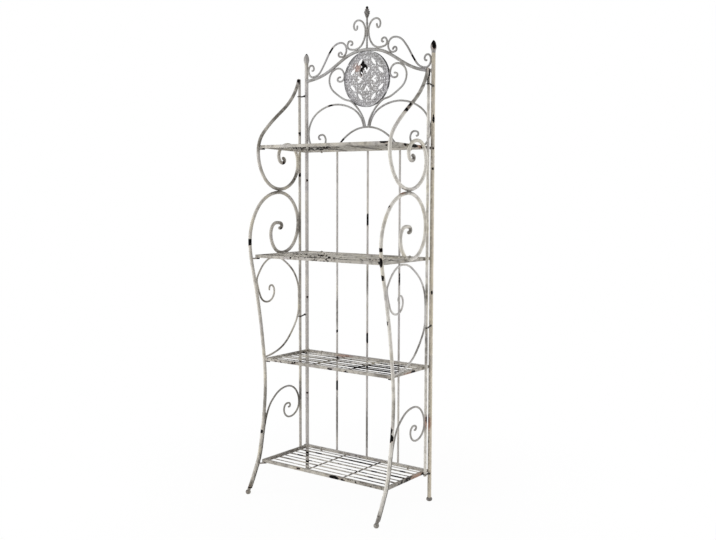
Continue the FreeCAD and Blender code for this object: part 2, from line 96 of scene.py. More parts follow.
# ---- node helpers ----
class Graph:
    """Short calls for building a material's node tree."""

    def __init__(self, name):
        self.material = bpy.data.materials.new(name)
        self.material.use_nodes = True
        self.tree = self.material.node_tree
        self.tree.nodes.clear()

    def node(self, kind, settings=None, **inputs):
        """New node.  An input is given by its name with _ for a space, or as iN by number."""
        made = self.tree.nodes.new(kind)
        for key, value in (settings or {}).items():
            setattr(made, key, value)
        for key, value in inputs.items():
            self.set(made, key, value)
        return made

    def set(self, node, key, value):
        index = int(key[1:]) if key[0] == "i" and key[1:].isdigit() else key.replace("_", " ")
        socket = node.inputs[index]
        if isinstance(value, bpy.types.NodeSocket):
            self.tree.links.new(value, socket)
        else:
            socket.default_value = value

    def math(self, operation, a, b=0.0):
        return self.node("ShaderNodeMath", {"operation": operation}, i0=a, i1=b).outputs[0]

    def vector(self, operation, a, b):
        made = self.node("ShaderNodeVectorMath", {"operation": operation}, i0=a, i1=b)
        return made.outputs[1] if operation == "DISTANCE" else made.outputs[0]

    def noise(self, where, scale, detail=3.0, rough=0.5, colour=False):
        made = self.node("ShaderNodeTexNoise", Vector=where, Scale=scale, Detail=detail,
                         Roughness=rough)
        return made.outputs["Color" if colour else "Fac"]

    def ramp(self, value, low, high, out_low=0.0, out_high=1.0):
        """Smooth step of value from low to high."""
        made = self.node("ShaderNodeMapRange", {"interpolation_type": "SMOOTHSTEP"}, Value=value)
        for key, number in (("From Min", low), ("From Max", high), ("To Min", out_low),
                            ("To Max", out_high)):
            self.set(made, key, number)
        return made.outputs[0]

    def mix(self, factor, a, b):
        made = self.node("ShaderNodeMix", {"data_type": "RGBA"})
        for index, value in ((0, factor), (6, a), (7, b)):
            self.set(made, "i%d" % index, value)
        return made.outputs[2]

    def nearest(self, where, spots):
        """Distance to the nearest of the ellipsoids, 1 on their surface."""
        best = None
        for x, y, z, half in spots:
            inverse = tuple(1.0 / h for h in half)
            scaled = self.vector("MULTIPLY", where, inverse)
            centre = (x * inverse[0], y * inverse[1], z * inverse[2])
            away = self.vector("DISTANCE", scaled, centre)
            best = away if best is None else self.math("MINIMUM", best, away)
        return best

    def pattern(self, where, name, out_low=0.0, out_high=1.0):
        """Soft-edged mask of one of the PATTERNS."""
        scale, detail, rough, low, high = PATTERNS[name]
        return self.ramp(self.noise(where, scale, detail, rough), low, high, out_low, out_high)

    def lay(self, colour, over, mask, share):
        """Colour with another laid over it where the mask is, at a share of full cover."""
        return self.mix(self.math("MULTIPLY", mask, share), colour, over)

    def finish(self, shader):
        output = self.node("ShaderNodeOutputMaterial")
        self.tree.links.new(shader, output.inputs["Surface"])
        return self.material


def rgb(red, green, blue):
    """Linear colour from sRGB bytes."""
    def linear(value):
        value /= 255.0
        return value / 12.92 if value <= 0.04045 else ((value + 0.055) / 1.055) ** 2.4
    return (linear(red), linear(green), linear(blue), 1.0)


# tone of the grimy blotches and specks, and of the painted shade in the medallion's hollows
GRIME_AND_SHADE = rgb(96, 90, 83)
IVORY = rgb(206, 197, 172)
LAVENDER = rgb(168, 164, 172)
# dark tone for the given dirt, and for painted shade on wire flanks, bud creases and by the legs
SOOT_AND_SHADE = rgb(62, 56, 46)
HIGHLIGHT = rgb(232, 232, 234)
BLACK = rgb(9, 8, 8)
BROWN = rgb(46, 31, 24)
RUST = rgb(150, 92, 58)
WIRE_BLACK = rgb(20, 17, 15)
WIRE_BLOOM = rgb(58, 38, 28)
WIRE_SCRAPS = rgb(130, 123, 115)

# noise scale, detail and roughness, then where the mask starts and where it is full
PATTERNS = {
    "patch": (5.0, 2.0, 0.5, 0.36, 0.66),  # parts where the paint flakes
    "cloud": (7.5, 3.0, 0.55, 0.36, 0.66),  # broad light and shade in the paint
    "blotch": (34.0, 5.0, 0.62, 0.44, 0.66),
    "speck": (380.0, 3.0, 0.6, 0.54, 0.72),
    "warm": (13.0, 2.0, 0.5, 0.52, 0.68),
    "cool": (9.0, 2.0, 0.5, 0.54, 0.70),
    "rim_shade": (40.0, 3.0, 0.6, 0.30, 0.46),  # broken edge of the painted shade on the medallion's rim
    "dirt_and_shade": (60.0, 4.0, 0.6, 0.24, 0.54),  # gaps in the given dirt and painted shade
    "stain": (30.0, 2.0, 0.5, 0.44, 0.62),  # where rust runs out from a chip
    "brown": (150.0, 4.0, 0.6, 0.54, 0.70),  # rusty parts of bare iron
    "bloom": (140.0, 5.0, 0.65, 0.48, 0.72),
    "scraps": (90.0, 4.0, 0.6, 0.62, 0.67),
}
# where a spot starts and where it is full, in its own radii
CHIP_EDGE = (1.0, 0.90)
CHIP_HALO = (1.55, 0.95)
DIRT_AND_SHADE_EDGE = (1.5, 0.6)
RUST_EDGE = (1.25, 0.35)
# how strongly each layer covers what lies under it
SHARE = {"cloud": 0.55, "cool": 0.35, "speck": 0.22, "hollow_shade": 0.45, "bead": 0.8, "rim_shade": 0.9,
         "flank_shade": 0.42, "crease_shade": 0.9, "dirt_and_shade": 0.7, "stain": 0.25, "scraps": 0.4}
WARP = 0.011  # reach of the noise that makes the outlines of spots ragged
FLAKE_TEXTURE = (5.0, 0.62)  # detail and roughness of the flakes' outlines
SOUND = 0.78  # level of that texture above which sound and weak paint is off
WEAK = 0.74
WEAKENING = 0.16  # how far each unit of flakes lowers the level of weak paint
DIRT_AND_SHADE_LOSS = 0.12  # how far the given dirt and painted shade lower the level
FLAKE_EDGE = 0.015  # softness of a flake's edge, and width of the halo beside it
FLAKE_HALO = 0.055
BEAD_SCALE = 92.0  # painted highlight dots on the medallion's beads, per metre
BEAD_EDGE = (0.46, 0.16)
HOLLOW_DEPTH = 0.0009  # over which the painted shade in the medallion's hollows fades out
RIM_SOFT = 0.0012
FLANK_SHADE_EDGE = (0.55, 0.15)  # how far a wire's surface faces up where the painted shade on its flank starts
SHEEN = 0.46  # roughness of the paint, and what blotches add to it
SHEEN_LOST = 0.18
METALLIC = 0.9  # of bare iron
CHIP_STEP = -0.8  # height of bare iron and of brush marks, as shares of the bump
BRUSHED = 0.35
BUMP = 0.0008


def medallion_tones(g, where, warped, colour):
    """Painted shade in the medallion's hollows, painted highlights on the small beads of its
    relief, and painted shade on the rim's outer edge, reaching further in at the left.
    """
    x, y, z = g.node("ShaderNodeSeparateXYZ", Vector=where).outputs
    # painted shade on the plate's face and the foot of its raised lines
    depth = g.math("ABSOLUTE", g.math("SUBTRACT", y, BACK_Y))
    hollow_shade = g.ramp(depth, PLATE_HALF + HOLLOW_DEPTH, PLATE_HALF)
    # painted highlights: bright dots standing in for the relief's small beads catching the light
    beads = g.node("ShaderNodeTexVoronoi", Vector=where, Scale=BEAD_SCALE, Randomness=0.6)
    highlight_dots = g.ramp(beads.outputs["Distance"], *BEAD_EDGE)
    colour = g.lay(colour, GRIME_AND_SHADE, hollow_shade, SHARE["hollow_shade"])
    colour = g.lay(colour, HIGHLIGHT, highlight_dots, SHARE["bead"])
    # painted shade: the rim's outer edge near black, reaching further in at the left
    flat = g.node("ShaderNodeCombineXYZ", X=x, Z=z).outputs[0]
    reach = g.vector("DISTANCE", flat, (0.0, 0.0, MEDALLION_Z))
    reach = g.math("ADD", reach, g.ramp(x, 0.03, -0.06, 0.0, RIM_SHADE_REACH))
    edge = g.math("MULTIPLY", g.ramp(reach, RIM_EDGE - RIM_SOFT, RIM_EDGE),
                  g.pattern(warped, "rim_shade"))
    return g.lay(colour, BLACK, edge, SHARE["rim_shade"])


def paint(name, light, shade, chips_and_shadow=(), rust=(), dirt_and_shade_spots=(), flakes=0.0, grain=62.0,
          mottle=0.3, ivory=0.45, rusting=0.8, relief=False, cast=False, under=False):
    """Old paint over dark iron.  chips, rust and dirt are (x, y, z, half sizes) of bare,
    stained and darkened places: the chips include some painted shadow drawn as bare iron, and
    the dirt is real dirt along with painted shade by the legs' scrolls and on the right back
    post; flakes is how much else is chipped, grain how finely; relief paints shade in the
    medallion's hollows, highlights on its beads and shade on its rim's edge, cast paints shade
    in the creases of the moulded buds, and under paints shade on the flanks and undersides
    of the shelf wires."""
    g = Graph(name)
    where = g.node("ShaderNodeTexCoord").outputs["Object"]
    wander = g.node("ShaderNodeVectorMath", {"operation": "MULTIPLY_ADD"},
                    i0=g.noise(where, 110.0, 4.0, 0.6, True), i1=(WARP, WARP, WARP),
                    i2=where).outputs[0]
    warped = g.vector("SUBTRACT", wander, (WARP / 2, WARP / 2, WARP / 2))
    # bare places: small flakes in patches, and the given chips, some of them painted shadow drawn
    # as bare iron
    texture = g.noise(warped, grain, *FLAKE_TEXTURE)
    level = g.pattern(where, "patch", SOUND, WEAK - WEAKENING * flakes)
    if dirt_and_shade_spots:
        dirt_and_shade = g.ramp(g.nearest(warped, dirt_and_shade_spots), *DIRT_AND_SHADE_EDGE)
        level = g.math("SUBTRACT", level, g.math("MULTIPLY", dirt_and_shade, DIRT_AND_SHADE_LOSS))
    over = g.math("SUBTRACT", texture, level)
    bare_and_shadow = g.ramp(over, 0.0, FLAKE_EDGE)
    halo = g.ramp(over, -FLAKE_HALO, 0.0)
    if chips_and_shadow:
        near = g.nearest(warped, chips_and_shadow)
        bare_and_shadow = g.math("MAXIMUM", bare_and_shadow, g.ramp(near, *CHIP_EDGE))
        halo = g.math("MAXIMUM", halo, g.ramp(near, *CHIP_HALO))
    # paint tones
    blotch = g.pattern(warped, "blotch")
    colour = g.lay(light, shade, g.pattern(where, "cloud"), SHARE["cloud"])
    colour = g.lay(colour, IVORY, g.pattern(where, "warm"), ivory)
    colour = g.lay(colour, LAVENDER, g.pattern(where, "cool"), SHARE["cool"])
    colour = g.lay(colour, GRIME_AND_SHADE, blotch, mottle)
    colour = g.lay(colour, GRIME_AND_SHADE, g.pattern(where, "speck"), SHARE["speck"])
    if relief:
        colour = medallion_tones(g, where, warped, colour)
    # painted shade: wires darker on their flanks and undersides, by how far their surface faces up
    if under:
        normal = g.node("ShaderNodeTexCoord").outputs["Normal"]
        facing = g.node("ShaderNodeSeparateXYZ", Vector=normal).outputs[2]
        colour = g.lay(colour, SOOT_AND_SHADE, g.ramp(facing, *FLANK_SHADE_EDGE), SHARE["flank_shade"])
    # painted shade in the creases of the cast buds, where pointiness is low
    if cast:
        sharp = g.node("ShaderNodeNewGeometry").outputs["Pointiness"]
        colour = g.mix(g.ramp(sharp, 0.50, 0.44, 0.0, SHARE["crease_shade"]), colour, SOOT_AND_SHADE)
    # darker at the given spots: real dirt, and painted shade by the legs' scrolls and on the right
    # back post
    if dirt_and_shade_spots:
        dirt_and_shade_cover = g.math("MULTIPLY", dirt_and_shade, g.pattern(warped, "dirt_and_shade"))
        colour = g.lay(colour, SOOT_AND_SHADE, dirt_and_shade_cover, SHARE["dirt_and_shade"])
    stain = g.math("MULTIPLY", halo, g.pattern(where, "stain"))
    stain = g.math("MULTIPLY", stain, SHARE["stain"])
    if rust:
        patch = g.math("MULTIPLY", g.ramp(g.nearest(warped, rust), *RUST_EDGE), rusting)
        stain = g.math("MAXIMUM", stain, patch)
    colour = g.mix(stain, colour, RUST)
    colour = g.mix(bare_and_shadow, colour, g.mix(g.pattern(where, "brown"), BLACK, BROWN))
    # thin even sheen, rougher where worn, with brushed paint and the step at each chip
    rough = g.math("ADD", g.math("MULTIPLY", blotch, SHEEN_LOST), SHEEN)
    height = g.math("ADD", g.math("MULTIPLY", bare_and_shadow, CHIP_STEP),
                    g.math("MULTIPLY", g.noise(where, 210.0, 4.0, 0.6), BRUSHED))
    bump = g.node("ShaderNodeBump", Strength=0.5, Distance=BUMP, Height=height)
    shader = g.node("ShaderNodeBsdfPrincipled", Base_Color=colour, Roughness=rough,
                    Metallic=g.math("MULTIPLY", bare_and_shadow, METALLIC), Normal=bump.outputs[0])
    return g.finish(shader.outputs[0])


def dark_iron(name):
    """Bare black wire with rust bloom and scraps of paint."""
    g = Graph(name)
    where = g.node("ShaderNodeTexCoord").outputs["Object"]
    bloom = g.pattern(where, "bloom")
    colour = g.mix(bloom, WIRE_BLACK, WIRE_BLOOM)
    colour = g.lay(colour, WIRE_SCRAPS, g.pattern(where, "scraps"), SHARE["scraps"])
    bump = g.node("ShaderNodeBump", Strength=0.5, Distance=0.0006,
                  Height=g.noise(where, 300.0, 4.0, 0.6))
    shader = g.node("ShaderNodeBsdfPrincipled", Base_Color=colour,
                    Roughness=g.ramp(bloom, 0.0, 1.0, 0.6, 0.9), Metallic=0.0,
                    Normal=bump.outputs[0])
    return g.finish(shader.outputs[0])


# ---- bare, rusty and dirty places of the rack, with some painted shade and shadow among them, by part ----
THROUGH = 0.016  # half width of a spot that goes right through a side frame


def on_side(side, y, z, half_y, half_z):
    """Spot right through a rod of a side frame."""
    return (side * SIDE_X, y, z, (THROUGH, half_y, half_z))


def on_rod(x, z, half_z):
    """Spot right round a back rod."""
    return (x, 0.197, z, (0.009, 0.012, half_z))


CROWN_CHIPS = [
    (-0.194, 0.187, 1.874, (0.018, 0.014, 0.020)), (0.230, 0.187, 1.797, (0.013, 0.014, 0.022)),
    (-0.188, 0.187, 1.633, (0.014, 0.014, 0.008)), (-0.126, 0.187, 1.4875, (0.011, 0.014, 0.010)),
    (-0.095, 0.184, 1.899, (0.006, 0.010, 0.004)),
]
CAST_CHIPS = [
    (0.000, 0.190, 2.030, (0.012, 0.012, 0.0125)), (0.324, 0.186, 1.857, (0.013, 0.014, 0.012)),
    (0.332, 0.184, 1.842, (0.008, 0.010, 0.013)), (-0.3255, 0.190, 1.864, (0.008, 0.010, 0.006)),
]
MEDALLION_CHIPS = [
    (-0.021, 0.189, 1.801, (0.011, 0.012, 0.012)), (-0.012, 0.189, 1.786, (0.015, 0.012, 0.012)),
    (-0.026, 0.189, 1.768, (0.008, 0.012, 0.018)), (-0.001, 0.189, 1.773, (0.009, 0.012, 0.012)),
]
MEDALLION_RUST = [(-0.046, 0.188, 1.790, (0.026, 0.015, 0.015)),
                  (-0.052, 0.188, 1.776, (0.020, 0.015, 0.010))]
BACK_CHIPS = [
    on_rod(0.002, 1.150, 0.026), on_rod(0.002, 0.645, 0.024), on_rod(0.002, 0.519, 0.006),
    on_rod(-0.160, 0.418, 0.023), on_rod(-0.160, 0.660, 0.006),
    (0.1665, 0.197, 0.908, (0.003, 0.012, 0.028)), (-0.319, 0.183, 1.315, (0.005, 0.009, 0.006)),
    (-0.318, 0.183, 0.799, (0.006, 0.008, 0.005)), (-0.318, 0.183, 0.366, (0.006, 0.008, 0.005)),
    (-0.320, 0.183, 0.085, (0.009, 0.010, 0.014)), (-0.322, 0.183, 0.050, (0.009, 0.010, 0.016)),
    (0.332, 0.183, 1.556, (0.0045, 0.009, 0.018)), (0.332, 0.183, 1.441, (0.003, 0.008, 0.006)),
    (0.331, 0.183, 1.360, (0.004, 0.008, 0.006)), (0.332, 0.183, 0.862, (0.004, 0.009, 0.009)),
    (0.3195, 0.182, 0.335, (0.0045, 0.009, 0.034)), (0.3195, 0.182, 0.245, (0.0035, 0.008, 0.030)),
    (0.3185, 0.183, 1.680, (0.004, 0.008, 0.030)),
]
BACK_RUST = [(0.323, 0.183, 0.325, (0.012, 0.014, 0.036))]
LEFT_CHIPS = [
    on_side(-1, -0.173, 1.059, 0.011, 0.0155), on_side(-1, -0.111, 0.251, 0.006, 0.009),
    on_side(-1, -0.188, 0.0265, 0.014, 0.003), on_side(-1, -0.206, 0.017, 0.006, 0.006),
    (-0.327, 0.146, 1.516, (0.008, 0.005, 0.010)), (-0.327, 0.146, 1.340, (0.008, 0.006, 0.009)),
    on_side(-1, 0.034, 0.599, 0.008, 0.007), on_side(-1, 0.058, 0.615, 0.006, 0.005),
    on_side(-1, 0.034, 1.386, 0.008, 0.007), on_side(-1, 0.017, 1.110, 0.006, 0.006),
    on_side(-1, 0.138, 1.738, 0.006, 0.014), (-0.3305, 0.148, 1.752, (0.009, 0.009, 0.007)),
]
# on the right side frame, the spots where the lower scroll crosses the leg (heights 0.32 to 0.39)
# are partly chips and partly painted shadow of the gap between scroll and leg, and the tall spot on
# the upright at height 1.716 is painted shadow of the upper scroll's top end
RIGHT_CHIPS_AND_SHADOW = [
    on_side(1, -0.176, 1.0529, 0.008, 0.008), (0.329, -0.174, 1.006, (0.012, 0.009, 0.021)),
    (0.327, -0.163, 0.9465, (0.012, 0.008, 0.013)), (0.327, -0.120, 0.778, (0.008, 0.008, 0.014)),
    (0.325, -0.1205, 1.215, (0.009, 0.007, 0.008)), (0.328, -0.012, 1.578, (0.014, 0.014, 0.010)),
    (0.329, 0.010, 1.602, (0.014, 0.012, 0.010)), on_side(1, -0.034, 1.2755, 0.012, 0.005),
    (0.324, -0.095, 0.352, (0.012, 0.011, 0.016)), (0.326, -0.096, 0.323, (0.013, 0.015, 0.018)),
    (0.327, -0.079, 0.372, (0.009, 0.005, 0.032)), (0.327, -0.0546, 0.388, (0.008, 0.004, 0.008)),
    (0.334, 0.152, 0.352, (0.010, 0.009, 0.020)), (0.327, 0.138, 1.716, (0.008, 0.010, 0.036)),
    (0.335, 0.147, 1.735, (0.008, 0.010, 0.018)),
]
RIGHT_RUST = [(0.3305, 0.148, 0.340, (0.014, 0.014, 0.030)),
              (0.3305, -0.036, 1.268, (0.014, 0.022, 0.010))]
LEFT_DIRT_AND_SHADE = [on_side(-1, *row) for row in (
    (-0.020, 1.270, 0.060, 0.012), (0.134, 1.120, 0.014, 0.050), (0.000, 1.008, 0.070, 0.014),
    (-0.110, 1.490, 0.030, 0.060), (0.100, 1.330, 0.040, 0.040), (0.110, 0.920, 0.036, 0.060),
    (-0.090, 0.830, 0.030, 0.040), (0.040, 0.610, 0.070, 0.050), (-0.084, 0.330, 0.014, 0.120),
    (-0.190, 0.020, 0.030, 0.050), (0.130, 0.380, 0.030, 0.060), (0.030, 1.580, 0.070, 0.090),
    (0.110, 1.700, 0.020, 0.040), (0.012, 1.126, 0.028, 0.014), (0.042, 1.396, 0.020, 0.014))]
RIGHT_DIRT_AND_SHADE = [on_side(1, *row) for row in (
    (-0.010, 1.268, 0.060, 0.010), (0.020, 1.600, 0.050, 0.050), (-0.020, 1.010, 0.050, 0.010),
    (0.110, 0.640, 0.070, 0.080), (-0.190, 0.020, 0.026, 0.050), (0.110, 1.700, 0.030, 0.050),
    (0.130, 0.860, 0.020, 0.040), (-0.080, 0.420, 0.010, 0.060), (0.075, 1.660, 0.050, 0.060),
    (0.016, 1.116, 0.016, 0.016), (0.040, 1.396, 0.018, 0.016))]
# (y, z) of the painted shade where a lower scroll runs down behind its leg
LEG_SCROLL_SHADE = ((-0.098, 0.235), (-0.104, 0.205), (-0.112, 0.175), (-0.1215, 0.145),
             (-0.132, 0.115), (-0.145, 0.085), (-0.1575, 0.060))
LEFT_DIRT_AND_SHADE += [on_side(-1, y, z, 0.007, 0.020) for y, z in LEG_SCROLL_SHADE]
RIGHT_DIRT_AND_SHADE += [on_side(1, y, z, 0.006, 0.018) for y, z in LEG_SCROLL_SHADE]
BACK_DIRT = [(x, 0.190, 0.010, (0.024, 0.024, 0.026)) for x in (-POST_X, POST_X)]
BACK_DIRT += [
    (0.0, 0.197, 0.900, (0.010, 0.010, 0.060)), (0.0, 0.197, 0.250, (0.010, 0.010, 0.080)),
    (-0.162, 0.197, 0.300, (0.010, 0.010, 0.100)), (-0.162, 0.197, 0.750, (0.010, 0.010, 0.060)),
]
# painted shade down the left edge of the right back post
POST_EDGE_SHADE = [(0.3215, 0.182, 1.250, (0.0066, 0.020, 0.600)),
             (0.3215, 0.182, 0.450, (0.0066, 0.020, 0.400))]
PEG_TIPS = [(side * 0.309, BACK_Y - front + SHELF_BAR, height - PEG_DROP + rise,
             (0.013, 0.012, 0.008))
            for side in (-1, 1) for height, front, rise in SHELVES]
SHELF_CHIPS = [
    (0.066, -0.116, 0.126, (0.026, 0.012, 0.008)), (0.110, -0.116, 0.123, (0.010, 0.008, 0.004)),
    (-0.120, -0.116, 0.128, (0.012, 0.008, 0.004)), (0.026, -0.091, 0.557, (0.014, 0.010, 0.004)),
    (0.107, -0.091, 0.555, (0.012, 0.010, 0.004)), (0.321, 0.067, 0.556, (0.014, 0.018, 0.007)),
    (0.323, 0.148, 1.442, (0.014, 0.040, 0.008)), (0.323, 0.066, 1.445, (0.014, 0.024, 0.007)),
    (0.323, 0.000, 1.449, (0.012, 0.012, 0.006)), (0.300, -0.110, 1.455, (0.022, 0.012, 0.006)),
    (0.316, -0.148, 1.002, (0.016, 0.010, 0.008)), (0.321, 0.150, 0.122, (0.012, 0.024, 0.006)),
]
# x, y and half length of the bare specks on the wires of the bottom shelf
WIRE_SPECKS = ((0.134, 0.001, 0.014), (0.157, 0.036, 0.016), (0.191, -0.034, 0.014),
               (0.195, 0.071, 0.012), (0.205, -0.069, 0.012), (0.262, 0.036, 0.020),
               (0.250, 0.106, 0.016), (-0.190, 0.106, 0.020), (-0.236, 0.036, 0.016),
               (-0.150, 0.001, 0.012))
SHELF_CHIPS += [(x, y, 0.129, (half, 0.010, 0.008)) for x, y, half in WIRE_SPECKS]
SHELF_DIRT = [
    (-0.270, -0.100, 1.000, (0.050, 0.050, 0.010)), (-0.290, 0.080, 0.559, (0.050, 0.080, 0.010)),
    (0.150, 0.020, 0.559, (0.120, 0.060, 0.010)), (0.280, -0.030, 0.559, (0.040, 0.070, 0.010)),
    (-0.260, 0.040, 0.126, (0.070, 0.130, 0.012)), (0.250, -0.010, 0.126, (0.080, 0.110, 0.012)),
    (-0.040, 0.100, 0.126, (0.120, 0.050, 0.010)), (-0.080, 0.020, 0.559, (0.120, 0.100, 0.010)),
]
SHELF_RUST = [
    (0.321, 0.105, 1.446, (0.012, 0.024, 0.010)), (0.321, 0.100, 0.126, (0.014, 0.060, 0.010)),
    (0.321, 0.040, 0.552, (0.014, 0.050, 0.010)), (-0.100, 0.160, 0.559, (0.050, 0.030, 0.010)),
]

MATERIALS = {
    "crown": paint("old_paint_crown", rgb(167, 166, 164), rgb(139, 137, 136), CROWN_CHIPS,
                   flakes=0.2, mottle=0.5, ivory=0.1),
    "cast": paint("old_paint_buds", rgb(168, 165, 162), rgb(140, 136, 133), CAST_CHIPS,
                  cast=True),
    "medallion": paint("old_paint_medallion", rgb(188, 187, 190), rgb(160, 161, 159),
                       MEDALLION_CHIPS, MEDALLION_RUST, mottle=0.15, ivory=0.1,
                       rusting=0.5, relief=True),
    "back": paint("old_paint_back", rgb(199, 195, 191), rgb(174, 169, 167), BACK_CHIPS,
                  BACK_RUST, BACK_DIRT, mottle=0.2, ivory=0.2),
    # the right back post in a lighter copy of the back's paint: painted light on the lit right side
    "post_right": paint("old_paint_right_post_painted_light", rgb(218, 208, 190), rgb(194, 184, 165),
                        BACK_CHIPS, BACK_RUST, POST_EDGE_SHADE, mottle=0.15),
    "left": paint("old_paint_left", rgb(198, 193, 184), rgb(166, 160, 150), LEFT_CHIPS,
                  dirt_and_shade_spots=LEFT_DIRT_AND_SHADE),
    # the right side frame and its thin scrolls in lighter copies of the left's paints: painted
    # light on the lit right side
    "right": paint("old_paint_right_painted_light", rgb(230, 226, 218), rgb(205, 200, 190), RIGHT_CHIPS_AND_SHADOW,
                   RIGHT_RUST, RIGHT_DIRT_AND_SHADE),
    "middle_right": paint("old_paint_middle_right_painted_light", rgb(212, 209, 206), rgb(184, 181, 178),
                          RIGHT_CHIPS_AND_SHADOW, RIGHT_RUST, RIGHT_DIRT_AND_SHADE, ivory=0.15),
    "lower_right": paint("old_paint_lower_right_painted_light", rgb(176, 173, 169), rgb(146, 143, 139),
                         RIGHT_CHIPS_AND_SHADOW, RIGHT_RUST, RIGHT_DIRT_AND_SHADE, ivory=0.15),
    "lower_left": paint("old_paint_lower_left", rgb(152, 149, 143), rgb(122, 118, 112),
                        LEFT_CHIPS, dirt_and_shade_spots=LEFT_DIRT_AND_SHADE, ivory=0.15),
    "pegs": paint("old_paint_pegs", rgb(150, 144, 136), rgb(110, 104, 97), PEG_TIPS),
    "shelf": paint("old_paint_shelf", rgb(182, 177, 168), rgb(144, 139, 130), SHELF_CHIPS,
                   SHELF_RUST, SHELF_DIRT, flakes=1.1, grain=95.0, mottle=0.6, ivory=0.25,
                   rusting=0.55),
    "wires": paint("old_paint_wires", rgb(206, 202, 193), rgb(172, 167, 157), SHELF_CHIPS,
                   SHELF_RUST, SHELF_DIRT, flakes=1.9, grain=95.0, mottle=0.5, rusting=0.55,
                   under=True),
    "cross": paint("old_paint_cross_bars", rgb(120, 115, 108), rgb(90, 85, 78),
                   flakes=2.0, grain=95.0),
    "iron": dark_iron("bare_iron"),
}

# parts in the paint of their side frame, and the thin scrolls with darker materials of their own
SIDE_PARTS = ("side_upright", "upper_scroll", "front_leg", "middle_scroll", "lower_scroll",
              "leg_foot")
THIN_SCROLLS = {"middle_scroll_right": "middle_right", "lower_scroll_right": "lower_right",
                "lower_scroll_left": "lower_left"}


def finish_for(node):
    """Key of the material that a CAD node is dressed in."""
    part, _, side = node.rpartition("_")
    if node.startswith("side_hinge_rings"):
        return "iron"
    if node == "back_post_right":
        return "post_right"
    if node.startswith("shelf_pegs"):
        return "pegs"
    if node in THIN_SCROLLS:
        return THIN_SCROLLS[node]
    if part in SIDE_PARTS:
        return side
    if node.startswith("shelf_"):
        return {"wires": "wires", "bars": "cross"}.get(side, "shelf")
    if node.startswith("medallion_"):
        return "medallion"
    if node.startswith("back_") or node == "post_feet":
        return "back"
    return "crown"


for node_name, node_object in NODES.items():
    node_object.data.materials.clear()
    node_object.data.materials.append(MATERIALS[finish_for(node_name)])


# ---- mesh helpers ----
TAPER = 0.45  # radius of a wire's end, as a share of its radius
UNEVEN_SCALE = 1.7  # noise over a lump of weld, and its spread from lump to lump
UNEVEN_SPREAD = 900.0
RIPPLE_PITCH = 1.5  # length of a ripple of weld, and its sideways scatter, in half widths
RIPPLE_SCATTER = 0.12
RIPPLE_REACH = 0.85  # half length of a ripple, as a share of their spacing
RIPPLE_SIZES = (0.88, 1.08)
COLLAR_SIZES = (0.85, 1.15)


def new_piece(name, mesh_data, material, body):
    """Smooth object from a bmesh, riding on a body."""
    mesh = bpy.data.meshes.new(name)
    bmesh.ops.recalc_face_normals(mesh_data, faces=mesh_data.faces)
    mesh_data.to_mesh(mesh)
    mesh_data.free()
    for polygon in mesh.polygons:
        polygon.use_smooth = True
    mesh.materials.append(MATERIALS[material])
    made = bpy.data.objects.new(name, mesh)
    bpy.context.scene.collection.objects.link(made)
    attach(made, body)
    return made


def tube(mesh_data, points, radius, closed=False, sides=7):
    """Round wire along points, tapering to rounded ends unless closed."""
    count = len(points)
    rings = []
    for index, point in enumerate(points):
        before = points[index - 1] if closed or index else point
        after = points[(index + 1) % count] if closed or index < count - 1 else point
        along = (after - before).normalized()
        across = along.cross(Vector((0, 1, 0)))
        across = across.normalized() if across.length > 0.01 else Vector((1, 0, 0))
        out = along.cross(across)
        end = not closed and index in (0, count - 1)
        size = radius * (TAPER if end else 1.0)
        ring = []
        for step in range(sides):
            angle = math.tau * step / sides
            spot = point + (across * math.cos(angle) + out * math.sin(angle)) * size
            ring.append(mesh_data.verts.new(spot))
        rings.append(ring)
    pairs = list(zip(rings, rings[1:])) + ([(rings[-1], rings[0])] if closed else [])
    for low, high in pairs:
        for step in range(sides):
            following = (step + 1) % sides
            mesh_data.faces.new((low[step], low[following], high[following], high[step]))
    if not closed:
        mesh_data.faces.new(rings[0])
        mesh_data.faces.new(rings[-1])


def lump(mesh_data, centre, half, along=(0, 0, 1), rough=0.14, detail=2):
    """Uneven ellipsoid of weld metal; half is (across, along, out)."""
    toward = Vector(along).normalized()
    out = Vector((0, 1, 0)) if abs(toward.y) < 0.9 else Vector((1, 0, 0))
    across = toward.cross(out).normalized()
    out = across.cross(toward)
    made = bmesh.ops.create_icosphere(mesh_data, subdivisions=detail, radius=1.0)
    for vert in made["verts"]:
        unit = vert.co.copy()
        grow = 1.0 + rough * noise.noise(unit * UNEVEN_SCALE + Vector(centre) * UNEVEN_SPREAD)
        vert.co = Vector(centre) + grow * (across * unit.x * half[0] + toward * unit.z * half[1]
                                           + out * unit.y * half[2])


def bead(mesh_data, centre, along, length, across, out):
    """Row of overlapping ripples of weld metal laid along a joint."""
    toward = Vector(along).normalized()
    count = max(2, round(length / (across * RIPPLE_PITCH)))
    step = length / count
    for index in range(count):
        place = Vector(centre) + toward * step * (index - (count - 1) / 2)
        scatter = Vector((random.uniform(-1, 1), 0, random.uniform(-1, 1)))
        place += scatter * across * RIPPLE_SCATTER
        size = random.uniform(*RIPPLE_SIZES)
        lump(mesh_data, place, (across * size, step * RIPPLE_REACH, out * size), toward)


def collar(mesh_data, centre, axis, radius, size, count=9):
    """Ring of weld metal round a rod where it butts against another."""
    toward = Vector(axis).normalized()
    side = toward.orthogonal().normalized()
    over = toward.cross(side)
    for index in range(count):
        angle = math.tau * index / count
        place = Vector(centre) + (side * math.cos(angle) + over * math.sin(angle)) * radius
        scale = size * random.uniform(*COLLAR_SIZES)
        lump(mesh_data, place, (scale, scale, scale), toward, detail=1)


